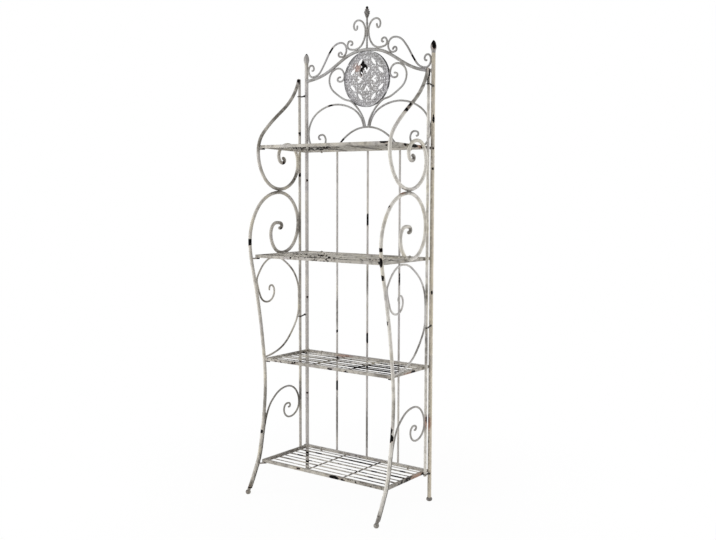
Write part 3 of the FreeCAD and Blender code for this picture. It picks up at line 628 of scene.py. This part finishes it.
# ---- weld beads ----
# (depth, height, heading in degrees, length) where rods of a side frame lie together
SIDE_BEADS = [
    (0.1758, 1.2700, 0, 0.018), (UPRIGHT_FACE, 1.388, 90, 0.018),
    (UPRIGHT_FACE, 1.130, 90, 0.018), (UPRIGHT_FACE, 0.773, 90, 0.014),
    (UPRIGHT_FACE, 0.818, 90, 0.014), (UPRIGHT_FACE, 0.335, 90, 0.015),
    (0.3232, 0.8770, 78, 0.014), (0.2740, 0.3180, -83, 0.014), (0.2976, 0.1950, -80, 0.014),
    (0.3300, 0.1000, -64, 0.014), (0.3596, 0.0395, -61, 0.012),
]
# ((depth, height), direction of the rod, radius, size) where a rod's end butts on another
SIDE_COLLARS = [((0.2735, 0.5672), (1, 0), 0.0042, 0.0016),
                ((0.0475, 1.7440), (0.3, -1), 0.0070, 0.0014)]
# distance of a bead from the plane of the rods, its half width and half height
SIDE_BEAD = (0.0022, 0.0026, 0.0022)
CROWN_BEAD = (0.0018, 0.0021, 0.0016)
ARCH_BEAD = (0.0035, 0.0026, 0.0024)
ARCH_BEAD_LENGTH = 0.030
# radius of a collar, size of its lumps and their count where it isn't the usual one
PEG_COLLAR = (0.0028, 0.0011, 7)
ARCH_COLLAR = (0.0068, 0.0022, 13)
RAIL_COLLAR = (0.0052, 0.0019, 11)
CENTRE_COLLAR = (0.0042, 0.0017)
HINGE_COLLAR = (0.0042, 0.0013)
PEG_WELD_X = 0.3245
PEG_BEHIND = 0.004  # peg's weld behind the front of its shelf
PEG_RISE = 0.94  # rise of a peg, as a share of the rise of its shelf's front edge
RING_STEPS = 20
LINK_STEPS = 8
LINK_GAP = 0.001  # between the axis of a ring's wire and the end of its link
LINK_WELD_DEPTH = 0.0105
LINK_WELD_RISE = 0.9  # height of that weld, as a share of the link's rise
LINK_WELD = (0.0045, 0.0048, 0.0042)
LOOP_WELD = (0.0042, 0.0036, 0.0016)
ROD_WELD = (0.0062, 0.0050, 0.0020)
POST_WELD_X = 0.3172  # where the arch and the rails meet the posts
ARCH_END_Z = 1.7463
ARCH_END_SLOPE = 0.09
CENTRE_FOOT_Z = 1.8625  # where the centre rod stands on the arch


def side_point(side, depth, height):
    """Place in the plane of a side frame."""
    return Vector((side * SIDE_X, BACK_Y - depth, height))


def side_welds(side, name):
    """Beads where a side frame's rods touch, and collars at their ends and its pegs."""
    made = bmesh.new()
    apart, across, out = SIDE_BEAD
    for depth, height, heading, length in SIDE_BEADS:
        angle = math.radians(heading)
        along = (0, -math.cos(angle), math.sin(angle))
        for face in (-1, 1):
            spot = side_point(side, depth, height) + Vector((face * apart, 0, 0))
            bead(made, spot, along, length, across, out)
    for (depth, height), (toward, up), radius, size in SIDE_COLLARS:
        collar(made, side_point(side, depth, height), (0, -toward, up), radius, size)
    for height, front, rise in SHELVES:
        spot = Vector((side * PEG_WELD_X, BACK_Y - front + PEG_BEHIND,
                       height - PEG_DROP + rise * PEG_RISE))
        collar(made, spot, (1, 0.2, 0), *PEG_COLLAR)
    new_piece("welds_side_frame_" + name, made, name, "side_frame_" + name)


def ring_welds():
    """Weld-thickened wire of the rings and links that hold the side frames."""
    made = bmesh.new()
    for side, rings in RINGS.items():
        for height, rise in rings:
            centre = side_point(side, RING_DEPTH, height)
            ring = []
            for step in range(RING_STEPS):
                angle = math.tau * step / RING_STEPS
                ring.append(centre + Vector((math.cos(angle) * RING_R,
                                             math.sin(angle) * RING_R, 0)))
            tube(made, ring, RING_WIRE_R, True)
            start = RING_DEPTH - RING_R - LINK_GAP
            link = []
            for step in range(LINK_STEPS + 1):
                t = step / LINK_STEPS
                depth = start + (LINK_END - start) * t
                wave = t * t * (3 - 2 * t)
                link.append(side_point(side, depth, height + rise * wave))
            tube(made, link, LINK_R)
            weld_height = height + rise * LINK_WELD_RISE
            lump(made, side_point(side, LINK_WELD_DEPTH, weld_height), LINK_WELD)
    new_piece("welds_hinge_rings", made, "iron", "back_frame")


# (x, height, heading, length) of the crown's beads, for both halves
CROWN_BEADS = [
    (0.0040, 1.931, 90, 0.014), (0.0560, 1.8535, -12, 0.014), (0.1210, 1.8305, -29, 0.014),
    (0.2780, 1.7565, -15, 0.014), (0.1040, 1.8750, 85, 0.010), (0.1750, 1.7885, -29, 0.012),
    (0.1155, 1.7530, 88, 0.012), (0.0715, 1.6435, 38, 0.014), (POST_X - POST_R, 1.515, 90, 0.014),
    (0.2680, 1.4475, 0, 0.014), (0.0110, 1.5410, 0, 0.008),
]
CROWN_COLLARS = [((0.1605, 1.4475), (-0.55, 1), 0.0040, 0.0015)]


def back_welds():
    """Beads and collars of the crown, and welds of the rails, rods and shelf loops."""
    made = bmesh.new()
    apart, across, out = CROWN_BEAD
    for side in (-1, 1):
        for x, height, heading, length in CROWN_BEADS:
            angle = math.radians(heading)
            along = (side * math.cos(angle), 0, math.sin(angle))
            for face in (-1, 1):
                bead(made, (side * x, BACK_Y + face * apart, height), along, length, across, out)
        for (x, height), (toward, up), radius, size in CROWN_COLLARS:
            collar(made, (side * x, BACK_Y, height), (side * toward, 0, up), radius, size)
        collar(made, (side * POST_WELD_X, BACK_Y, ARCH_END_Z), (1, 0, side * ARCH_END_SLOPE),
               *ARCH_COLLAR)
        for height, _, _ in SHELVES:
            collar(made, (side * POST_WELD_X, BACK_Y, height), (1, 0, 0), *RAIL_COLLAR)
            lump(made, (side * LOOP_X, BACK_Y - RAIL_R, height), LOOP_WELD)
    for height, _, _ in SHELVES:
        for x in (-BACK_ROD_X, 0.0, BACK_ROD_X):
            lump(made, (x, BACK_Y + RAIL_R, height), ROD_WELD)
    collar(made, (0, BACK_Y, CENTRE_FOOT_Z), (0, 0, 1), *CENTRE_COLLAR)
    apart, across, out = ARCH_BEAD
    for face in (-1, 1):
        bead(made, (0, BACK_Y + face * apart, ARCH_CROWN_Z), (1, 0, 0), ARCH_BEAD_LENGTH,
             across, out)
    new_piece("welds_back_frame", made, "crown", "back_frame")


# how far a weld is larger than the radius of its wire, or of the bar that it crosses
WIRE_WELD_WIDER = 0.0010
WIRE_WELD_HIGHER = 0.0008
CROSSING_WIDER = 0.0006
CROSSING_LONGER = 0.0008
CROSS_WELD_WIDER = 0.0010
CROSS_WELD_HIGHER = 0.0009
# half lengths of the welds at the ends, height of those at the crossings, corner's half sizes
WIRE_WELD_LENGTH = 0.0018
CROSS_WELD_LENGTH = 0.0022
CROSSING_HEIGHT = 0.0011
CORNER_WELD = (0.0022, 0.0052, 0.0022)


def shelf_welds(index, height, front, rise):
    """Small welds where the wires and cross bars end, and at the frame's corners."""
    made = bmesh.new()
    inner = HALF_WIDTH - SHELF_BAR
    bed = height + SHELF_BAR / 2 - 2 * THICK_R
    front_bar = BACK_Y - front + SHELF_BAR
    hinge_bar = BACK_Y - HINGE_DEPTH - RAIL_R
    pitch = (front - SHELF_BAR - HINGE_DEPTH) / (WIRES + 1)
    for wire in range(WIRES):
        radius = THICK_R if wire % 2 else THIN_R
        y = BACK_Y - HINGE_DEPTH - pitch * (wire + 1)
        end = (radius + WIRE_WELD_WIDER, WIRE_WELD_LENGTH, radius + WIRE_WELD_HIGHER)
        crossing = (radius + CROSSING_WIDER, CROSS_R + CROSSING_LONGER, CROSSING_HEIGHT)
        for side in (-1, 1):
            lump(made, (side * inner, y, bed + radius), end, (1, 0, 0), detail=1)
            lump(made, (side * CROSS_X, y, bed), crossing, (1, 0, 0), detail=1)
    end = (CROSS_R + CROSS_WELD_WIDER, CROSS_WELD_LENGTH, CROSS_R + CROSS_WELD_HIGHER)
    for side in (-1, 1):
        for y in (hinge_bar, front_bar):
            lump(made, (side * CROSS_X, y, bed - CROSS_R), end, (0, 1, 0))
        lump(made, (side * inner, front_bar, height), CORNER_WELD)
        collar(made, (side * (inner + SHELF_BAR / 2), hinge_bar, height), (0, 1, 0),
               *HINGE_COLLAR)
    if rise:
        hinge = Vector((0, BACK_Y - HINGE_DEPTH, height))
        turn = Matrix.Rotation(-math.asin(rise / (front - HINGE_DEPTH)), 4, "X")
        place = Matrix.Translation(hinge) @ turn @ Matrix.Translation(-hinge)
        bmesh.ops.transform(made, matrix=place, verts=made.verts)
    new_piece("welds_shelf_%d" % index, made, "shelf", "shelf_%d" % index)


# ---- cast ornaments ----
LEAF_ROWS = 9
LEAF_COLUMNS = 6
LEAF_SWEEP = 0.94  # share of a quarter turn over which a leaf's rise slows down
LEAF_FOOT = 0.55  # width at the foot, and how much it flares by the tip
LEAF_FLARE = 0.75
LEAF_POINT = (2.4, 0.62)  # powers that round the width off to the tip
LEAF_CUP = 0.30  # how far the edges curl in, as a share of the width
LEAF_RIB = 0.00035
LEAF_THICK = 0.0011
LATHE_CORE = 0.00005  # least radius of a turned skin


def leaf(mesh_data, angle, foot, tip, half_width, lean):
    """Cupped leaf growing from foot to tip, both (radius, height); lean bends it out late."""
    out = Vector((math.cos(angle), math.sin(angle), 0))
    across = Vector((-math.sin(angle), math.cos(angle), 0))
    grid = []
    whole = math.sin(math.pi / 2 * LEAF_SWEEP)
    for row in range(LEAF_ROWS):
        t = row / (LEAF_ROWS - 1)
        radius = foot[0] + (tip[0] - foot[0]) * t ** lean
        height = foot[1] + (tip[1] - foot[1]) * math.sin(t * math.pi / 2 * LEAF_SWEEP) / whole
        width = half_width * (LEAF_FOOT + LEAF_FLARE * t)
        width *= (1 - t ** LEAF_POINT[0]) ** LEAF_POINT[1]
        line = []
        for column in range(LEAF_COLUMNS + 1):
            v = 2 * column / LEAF_COLUMNS - 1
            rib = LEAF_RIB * (1 - abs(v)) ** 3
            inset = LEAF_CUP * width * v * v
            spot = out * (radius - inset + rib) + across * width * v
            spot.z = height
            line.append(mesh_data.verts.new(spot))
        grid.append(line)
    faces = []
    for low, high in zip(grid, grid[1:]):
        for column in range(LEAF_COLUMNS):
            faces.append(mesh_data.faces.new((low[column], low[column + 1], high[column + 1],
                                              high[column])))
    bmesh.ops.solidify(mesh_data, geom=faces, thickness=LEAF_THICK)


def turned(mesh_data, profile, steps, shape=lambda angle, height: 1.0):
    """Lathed skin through (radius, height) rows, scaled by shape(angle, height)."""
    grid = []
    for radius, height in profile:
        line = []
        for step in range(steps):
            angle = math.tau * step / steps
            reach = max(radius * shape(angle, height), LATHE_CORE)
            line.append(mesh_data.verts.new((reach * math.cos(angle), reach * math.sin(angle),
                                             height)))
        grid.append(line)
    for low, high in zip(grid, grid[1:]):
        for step in range(steps):
            following = (step + 1) % steps
            mesh_data.faces.new((low[step], low[following], high[following], high[step]))
    mesh_data.faces.new(grid[0])
    mesh_data.faces.new(grid[-1])


# leaf tiers of the crown finial: count, first angle, foot, tip, half width, lean
LEAF_TIERS = [
    (6, 0.0, (0.0050, 0.007), (0.0138, 0.0275), 0.0058, 0.75),
    (6, 0.52, (0.0078, 0.017), (0.0126, 0.0350), 0.0056, 0.80),
    (5, 0.2, (0.0060, 0.027), (0.0098, 0.0425), 0.0048, 0.80),
]
CORE_STEPS = 20
CORE = [(0.0040, 0.0), (0.0042, 0.006), (0.0066, 0.013), (0.0094, 0.020), (0.0104, 0.026),
        (0.0086, 0.033), (0.0060, 0.039), (0.0040, 0.0422), (0.0050, 0.0440), (0.0057, 0.0470),
        (0.0051, 0.0500), (0.0032, 0.0523), (0.0006, 0.0530)]


def crown_finial():
    """Tiers of cupped leaves round a turned core, in place of the plain finial."""
    made = bmesh.new()
    turned(made, CORE, CORE_STEPS)
    for count, first, foot, tip, half_width, lean in LEAF_TIERS:
        for index in range(count):
            leaf(made, first + math.tau * index / count, foot, tip, half_width, lean)
    bmesh.ops.translate(made, vec=(0, BACK_Y, CROWN_FINIAL_Z), verts=made.verts)
    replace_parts(new_piece("crown_leaf_bud", made, "cast", "back_frame"), "crown_finial")


BUD = [(0.0080, 0.000), (0.0080, 0.003), (0.0083, 0.006), (0.0092, 0.010), (0.0108, 0.0145),
       (0.0121, 0.019), (0.0125, 0.024), (0.0121, 0.029), (0.0108, 0.0345), (0.0089, 0.0395),
       (0.0064, 0.0440), (0.0038, 0.0475), (0.0012, 0.0498), (0.0002, 0.0500)]
BUD_STEPS = 60
PETALS = 5
PETAL_ROUND = 0.55  # lower is rounder petals with narrower creases
CREASE_DEPTH = 0.17  # share of the radius
OPENING = (0.006, 0.018)  # height where the creases start, and over which they deepen
CLOSING = (0.034, 0.008)  # height where the inner petals start, and over which they take over


def climb(height, start, span):
    """Share of a span climbed at a height, from 0 to 1."""
    return min(1.0, max(0.0, (height - start) / span))


def petal_crease(angle, height):
    """Petals that open from the waist, with inner petals between them at the tip."""
    outer = abs(math.cos(PETALS * angle / 2)) ** PETAL_ROUND
    inner = abs(math.sin(PETALS * angle / 2)) ** PETAL_ROUND
    blend = climb(height, *CLOSING)
    edge = outer * (1 - blend) + inner * blend
    return 1.0 - CREASE_DEPTH * climb(height, *OPENING) * (1.0 - edge)


def post_buds():
    """Petalled buds on the back posts, in place of the plain finials."""
    made = bmesh.new()
    for side in (-1, 1):
        before = set(made.verts)
        turned(made, BUD, BUD_STEPS, petal_crease)
        fresh = [vert for vert in made.verts if vert not in before]
        bmesh.ops.translate(made, vec=(side * POST_X, BACK_Y, POST_TOP), verts=fresh)
    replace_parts(new_piece("post_petal_buds", made, "cast", "back_frame"), "post_finials")


# ---- medallion relief ----
RELIEF_R = 0.0013  # radius and sides of the raised lines
RELIEF_SIDES = 6
FACE_Y = PLATE_HALF + 0.0002
# the pattern's lines in metres (x, z) from the middle, over a quarter: pointed ovals between
# two points with their half width, circles with their radius and corners, and open wires;
# the first three tables are also mirrored in the quarter
PAIRED_OVALS = ((0.0195, 0.0885, 0.0490, 0.0555, 0.0092),)
PAIRED_CIRCLES = ((0.028, 0.052, 0.0054, 12), (0.041, 0.086, 0.0042, 12))
PAIRED_WIRES = (((0.003, 0.018), (0.011, 0.027), (0.018, 0.036), (0.020, 0.044), (0.015, 0.053),
                 (0.007, 0.060), (0.002, 0.064)),
                ((0.003, 0.079), (0.009, 0.083), (0.013, 0.088), (0.011, 0.093)))
OVALS = ((0.0175, 0.0175, 0.0355, 0.0355, 0.0058), (0.0005, 0.0030, 0.0005, 0.0195, 0.0056),
         (0.0500, 0.0680, 0.0680, 0.0500, 0.0055))
CIRCLES = ((0, 0.070, 0.0058, 14), (0, 0.090, 0.0060, 14), (0.067, 0.067, 0.0050, 12))
RIM_CIRCLES = ((0, 0, 0.0935, 60), (0, 0, 0.1070, 60))
CURLS = 30  # pairs of volutes between the rim's circles
CURL_REACH = 0.1002  # their distance from the middle, turn off their spoke and size
CURL_APART = 0.032
CURL_SIZE = 0.0048
CURL_STEPS = 10
CURL_START = 0.2  # heading of its outer end and how far it turns, in half turns
CURL_TURN = 1.35
CURL_WIND = 0.72  # how far it winds in, as a share of its size
BOSS = (0.0052, 0.0052, 0.0026)
BOSS_Y = 0.0012
PETAL_COUNT = 8  # petals of the flower round the boss
PETAL_REACH = 0.0105
PETAL = (0.0018, 0.0034, 0.0019)
PETAL_Y = 0.0010
CAST_ROUGH = 0.03


def circle(x, z, radius, corners):
    """Points of a circle in the medallion's plane, as (x, z)."""
    points = []
    for index in range(corners):
        angle = math.tau * index / corners
        points.append((x + radius * math.cos(angle), z + radius * math.sin(angle)))
    return points


def oval(ax, az, bx, bz, half_width, count=12):
    """Closed pointed oval between two points, as the plate's leaf openings."""
    a, b = Vector((ax, az)), Vector((bx, bz))
    along = b - a
    across = Vector((-along.y, along.x)).normalized() * half_width
    spots = []
    for sign in (1, -1):
        for index in range(count):
            t = index / count
            t = t if sign > 0 else 1 - t
            bow = 4 * t * (1 - t)
            spot = a + along * t + across * bow * sign
            spots.append((spot.x, spot.y))
    return spots


def curl(angle, turn):
    """Small volute in the rim zone: an arc that winds in."""
    centre = (CURL_REACH * math.cos(angle), CURL_REACH * math.sin(angle))
    spots = []
    for index in range(CURL_STEPS + 1):
        t = index / CURL_STEPS
        reach = CURL_SIZE * (1.0 - CURL_WIND * t)
        heading = angle + turn * (CURL_START + CURL_TURN * t) * math.pi
        spots.append((centre[0] + reach * math.cos(heading), centre[1] + reach * math.sin(heading)))
    return spots


def quarter_lines():
    """(closed, points) of the raised lines of the quarter that points up."""
    lines = []
    for mirror in (-1, 1):
        for ax, az, bx, bz, half_width in PAIRED_OVALS:
            lines.append((True, oval(mirror * ax, az, mirror * bx, bz, half_width)))
        for x, z, radius, corners in PAIRED_CIRCLES:
            lines.append((True, circle(mirror * x, z, radius, corners)))
        for wire in PAIRED_WIRES:
            lines.append((False, [(mirror * x, z) for x, z in wire]))
    lines += [(True, oval(*row)) for row in OVALS]
    lines += [(True, circle(*row)) for row in CIRCLES]
    return lines


def relief_lines():
    """(closed, points) of all the raised lines."""
    lines = [(True, circle(*row)) for row in RIM_CIRCLES]
    for quarter in range(4):
        turn = quarter * math.pi / 2
        cosine, sine = math.cos(turn), math.sin(turn)
        for closed, spots in quarter_lines():
            lines.append((closed, [(x * cosine - z * sine, x * sine + z * cosine)
                                   for x, z in spots]))
    for index in range(CURLS):
        angle = math.tau * (index + 0.5) / CURLS
        for turn in (-1, 1):
            lines.append((False, curl(angle + turn * CURL_APART, turn)))
    return lines


def medallion_relief():
    """Raised lines, boss and small petals on both faces of the medallion."""
    made = bmesh.new()
    centre = Vector((0, BACK_Y, MEDALLION_Z))
    for face in (-1, 1):
        for closed, spots in relief_lines():
            points = [centre + Vector((x, face * FACE_Y, z)) for x, z in spots]
            tube(made, points, RELIEF_R, closed, RELIEF_SIDES)
        lump(made, centre + Vector((0, face * BOSS_Y, 0)), BOSS, rough=CAST_ROUGH)
        for index in range(PETAL_COUNT):
            angle = math.tau * (index + 0.5) / PETAL_COUNT
            along = Vector((math.cos(angle), 0, math.sin(angle)))
            spot = centre + along * PETAL_REACH + Vector((0, face * PETAL_Y, 0))
            lump(made, spot, PETAL, along, CAST_ROUGH)
    new_piece("medallion_relief", made, "medallion", "back_frame")


random.seed(7)
side_welds(-1, "left")
side_welds(1, "right")
back_welds()
ring_welds()
for number, (shelf_height, shelf_front, shelf_rise) in enumerate(SHELVES, start=1):
    shelf_welds(number, shelf_height, shelf_front, shelf_rise)
crown_finial()
post_buds()
medallion_relief()


# ---- studio ----
FLOOR_HALF = 9.0
FLOOR_FADE = (0.5, 1.5, 0.955, 1.0)  # from and to how far out, and how white there
SKY_STRENGTH = 0.38  # on the rack; the camera sees it at 1
LAMPS = (  # name, place, target, width, height, watts
    ("left_strip", (-1.35, -1.0, 1.1), (-0.3, 0.0, 1.1), 0.5, 2.0, 16.0),
    ("right_strip", (1.30, 0.80, 1.1), (0.3, 0.1, 1.1), 0.5, 2.0, 11.0),
    ("front", (-0.4, -3.2, 1.1), (0.0, 0.0, 1.1), 0.9, 1.6, 25.0),
    ("overhead", (0.2, -1.6, 4.2), (0.0, 0.0, 0.8), 1.6, 1.6, 26.0),
)
CAMERA_PLACE = (2.3166, -2.9952, 1.2773)
CAMERA_TURN = (36.5305, -4.9494, 0.161)  # yaw, pitch and roll in degrees
CAMERA_LENS = 46.883
CAMERA_SENSOR = 36.0
CAMERA_REACH = 60.0


def floor():
    """White floor that keeps a soft shadow near the rack and fades into the white world."""
    g = Graph("studio_floor")
    path = g.node("ShaderNodeLightPath")
    seen = g.math("MAXIMUM", path.outputs["Is Camera Ray"],
                  g.math("MAXIMUM", path.outputs["Is Glossy Ray"],
                         path.outputs["Is Transmission Ray"]))
    where = g.node("ShaderNodeTexCoord").outputs["Object"]
    far = g.ramp(g.vector("DISTANCE", where, (0.0, 0.0, 0.0)), *FLOOR_FADE)
    plain = g.node("ShaderNodeBsdfDiffuse", Color=rgb(250, 249, 247))
    white = g.node("ShaderNodeEmission", Color=(1.0, 1.0, 1.0, 1.0), Strength=1.0)
    blend = g.node("ShaderNodeMixShader", i0=g.math("MULTIPLY", seen, far),
                   i1=plain.outputs[0], i2=white.outputs[0])
    mesh = bpy.data.meshes.new("studio_floor")
    corners = [(x * FLOOR_HALF, y * FLOOR_HALF, 0)
               for x, y in ((-1, -1), (1, -1), (1, 1), (-1, 1))]
    mesh.from_pydata(corners, [], [(0, 1, 2, 3)])
    made = bpy.data.objects.new("studio_floor", mesh)
    bpy.context.scene.collection.objects.link(made)
    mesh.materials.append(g.finish(blend.outputs[0]))


def world():
    """Even white surround: full white to the camera, plain level on the object."""
    made = bpy.data.worlds.new("studio")
    bpy.context.scene.world = made
    made.use_nodes = True
    tree = made.node_tree
    tree.nodes.clear()
    path = tree.nodes.new("ShaderNodeLightPath")
    either = tree.nodes.new("ShaderNodeMath")
    either.operation = "MAXIMUM"
    tree.links.new(path.outputs["Is Camera Ray"], either.inputs[0])
    tree.links.new(path.outputs["Is Transmission Ray"], either.inputs[1])
    strength = tree.nodes.new("ShaderNodeMapRange")
    strength.inputs["To Min"].default_value = SKY_STRENGTH
    strength.inputs["To Max"].default_value = 1.0
    tree.links.new(either.outputs[0], strength.inputs["Value"])
    sky = tree.nodes.new("ShaderNodeBackground")
    sky.inputs["Color"].default_value = (1.0, 1.0, 1.0, 1.0)
    tree.links.new(strength.outputs[0], sky.inputs["Strength"])
    output = tree.nodes.new("ShaderNodeOutputWorld")
    tree.links.new(sky.outputs[0], output.inputs["Surface"])


def lamp(name, place, target, width, height, power):
    """Rectangular area light at a place, turned to a target."""
    data = bpy.data.lights.new(name, "AREA")
    data.shape = "RECTANGLE"
    data.size = width
    data.size_y = height
    data.energy = power
    made = bpy.data.objects.new(name, data)
    made.location = place
    made.rotation_euler = (Vector(target) - Vector(place)).to_track_quat("-Z", "Y").to_euler()
    bpy.context.scene.collection.objects.link(made)


def camera():
    """The photo's camera, as fitted to it."""
    yaw, pitch, roll = (math.radians(angle) for angle in CAMERA_TURN)
    forward = Vector((-math.sin(yaw) * math.cos(pitch), math.cos(yaw) * math.cos(pitch),
                      math.sin(pitch)))
    level = forward.cross(Vector((0, 0, 1))).normalized()
    over = level.cross(forward)
    right = level * math.cos(roll) + over * math.sin(roll)
    up = over * math.cos(roll) - level * math.sin(roll)
    turn = Matrix((right, up, -forward)).transposed().to_4x4()
    data = bpy.data.cameras.new("camera")
    data.sensor_width = CAMERA_SENSOR
    data.lens = CAMERA_LENS
    data.clip_end = CAMERA_REACH
    made = bpy.data.objects.new("camera", data)
    made.matrix_world = Matrix.Translation(CAMERA_PLACE) @ turn
    bpy.context.scene.collection.objects.link(made)
    bpy.context.scene.camera = made


floor()
world()
for lamp_row in LAMPS:
    lamp(*lamp_row)
camera()
bpy.context.scene.view_settings.view_transform = "Standard"
